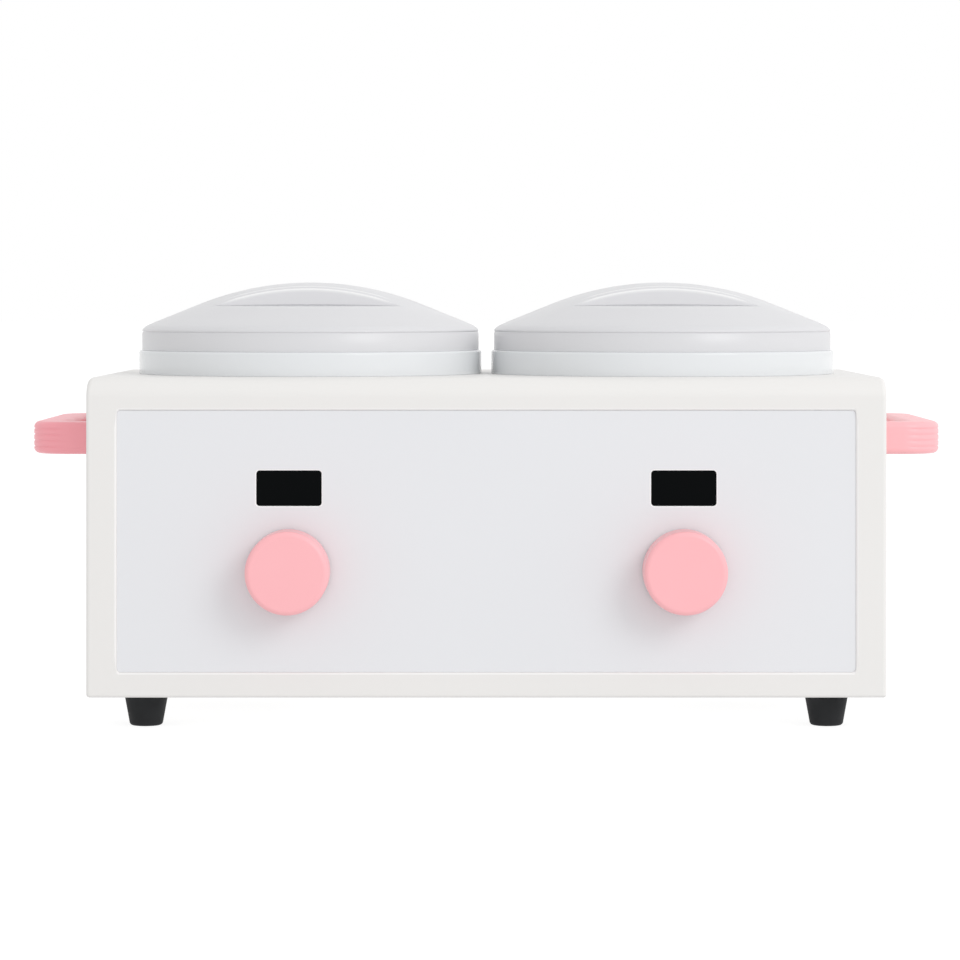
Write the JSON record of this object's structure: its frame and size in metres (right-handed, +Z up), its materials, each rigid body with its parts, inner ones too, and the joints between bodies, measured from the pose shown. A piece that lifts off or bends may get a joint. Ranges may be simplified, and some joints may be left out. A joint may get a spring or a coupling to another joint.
{
  "type": "double wax warmer",
  "caption": "Two heated wax wells with lift-out pots under domed lids, in one box housing with a front panel, displays, turning knobs and side handles",
  "frame": {"origin": "on the table, under the middle of the whole warmer's box", "axes": "+X to the right of someone who faces the front panel, +Y from the front to the rear, +Z up"},
  "size_m": [0.4526, 0.2318, 0.2183],
  "materials": {
    "housing_white": "satin moulded white plastic",
    "panel_white": "fine-grained white panel",
    "collar_white": "glossy white plastic",
    "frosted_plastic": "frosted translucent plastic",
    "pink_plastic": "satin pink plastic",
    "rubber_black": "black rubber",
    "display_black": "dark smoked window",
    "black_plastic": "black plastic",
    "aluminium": "spun aluminium",
    "steel": "zinc-plated steel",
    "brass": "brass",
    "silicone": "silicone rubber",
    "insulation": "needled glass felt",
    "board_green": "printed circuit board",
    "transformer": "wound bobbin and core",
    "terminal_green": "green terminal block"
  },
  "bodies": {
    "base": {"housing_shell": "housing_white", "front_panel": "panel_white", "panel_nuts": "steel", "base_plate": "housing_white", "base_screws": "steel", "front_left_foot": "rubber_black", "front_right_foot": "rubber_black", "rear_left_foot": "rubber_black", "rear_right_foot": "rubber_black", "foot_screws": "steel", "foot_nuts": "steel", "left_handle": "pink_plastic", "right_handle": "pink_plastic", "handle_screws": "steel", "left_collar": "collar_white", "right_collar": "collar_white", "collar_screws": "steel", "left_gasket": "silicone", "right_gasket": "silicone", "left_well": "aluminium", "right_well": "aluminium", "left_heater_band": "silicone", "right_heater_band": "silicone", "left_insulation": "insulation", "right_insulation": "insulation", "left_sensor": "steel", "right_sensor": "steel", "left_thermal_cutout": "steel", "right_thermal_cutout": "steel", "left_display_window": "display_black", "right_display_window": "display_black", "left_display_module": "display_black", "right_display_module": "display_black", "left_control_board": "board_green", "right_control_board": "board_green", "control_board_screws": "steel", "left_encoder": "steel", "right_encoder": "steel", "encoder_nuts": "steel", "power_inlet": "black_plastic", "inlet_pins": "steel", "inlet_screws": "steel", "inlet_nuts": "steel", "switch_frame": "black_plastic", "power_board": "board_green", "power_board_screws": "steel", "transformer": "transformer", "relays": "black_plastic", "terminal_block": "terminal_green"},
    "left_pot": {"left_pot": "aluminium"},
    "right_pot": {"right_pot": "aluminium"},
    "left_lid": {"left_lid": "frosted_plastic"},
    "right_lid": {"right_lid": "frosted_plastic"},
    "left_dial": {"left_encoder_rotor": "brass"},
    "right_dial": {"right_encoder_rotor": "brass"},
    "left_knob": {"left_encoder_shaft": "steel", "left_knob": "pink_plastic"},
    "right_knob": {"right_encoder_shaft": "steel", "right_knob": "pink_plastic"},
    "power_rocker": {"switch_rocker": "black_plastic"}
  },
  "joints": [
    {"name": "left_pot_lift", "type": "slide", "parent": "base", "child": "left_pot", "axis": [0, 0, 1], "range_m": [0, 0.09]},
    {"name": "left_lid_lift", "type": "slide", "parent": "left_pot", "child": "left_lid", "axis": [0, 0, 1], "range_m": [0, 0.06]},
    {"name": "right_pot_lift", "type": "slide", "parent": "base", "child": "right_pot", "axis": [0, 0, 1], "range_m": [0, 0.09]},
    {"name": "right_lid_lift", "type": "slide", "parent": "right_pot", "child": "right_lid", "axis": [0, 0, 1], "range_m": [0, 0.06]},
    {"name": "left_knob_turn", "type": "hinge", "parent": "base", "child": "left_dial", "pos_m": [-0.0962, -0.09342, 0.0776], "axis": [0, -1, 0], "continuous": true},
    {"name": "left_knob_press", "type": "slide", "parent": "left_dial", "child": "left_knob", "axis": [0, 1, 0], "range_m": [0, 0.0005], "stiffness_N_per_m": 2000, "springref_m": -0.001},
    {"name": "right_knob_turn", "type": "hinge", "parent": "base", "child": "right_dial", "pos_m": [0.0962, -0.09342, 0.0776], "axis": [0, -1, 0], "continuous": true},
    {"name": "right_knob_press", "type": "slide", "parent": "right_dial", "child": "right_knob", "axis": [0, 1, 0], "range_m": [0, 0.0005], "stiffness_N_per_m": 2000, "springref_m": -0.001},
    {"name": "power_rocker_tilt", "type": "hinge", "parent": "base", "child": "power_rocker", "pos_m": [0.078, 0.11158, 0.0576], "axis": [-1, 0, 0], "range_deg": [0, 20]}
  ]
}
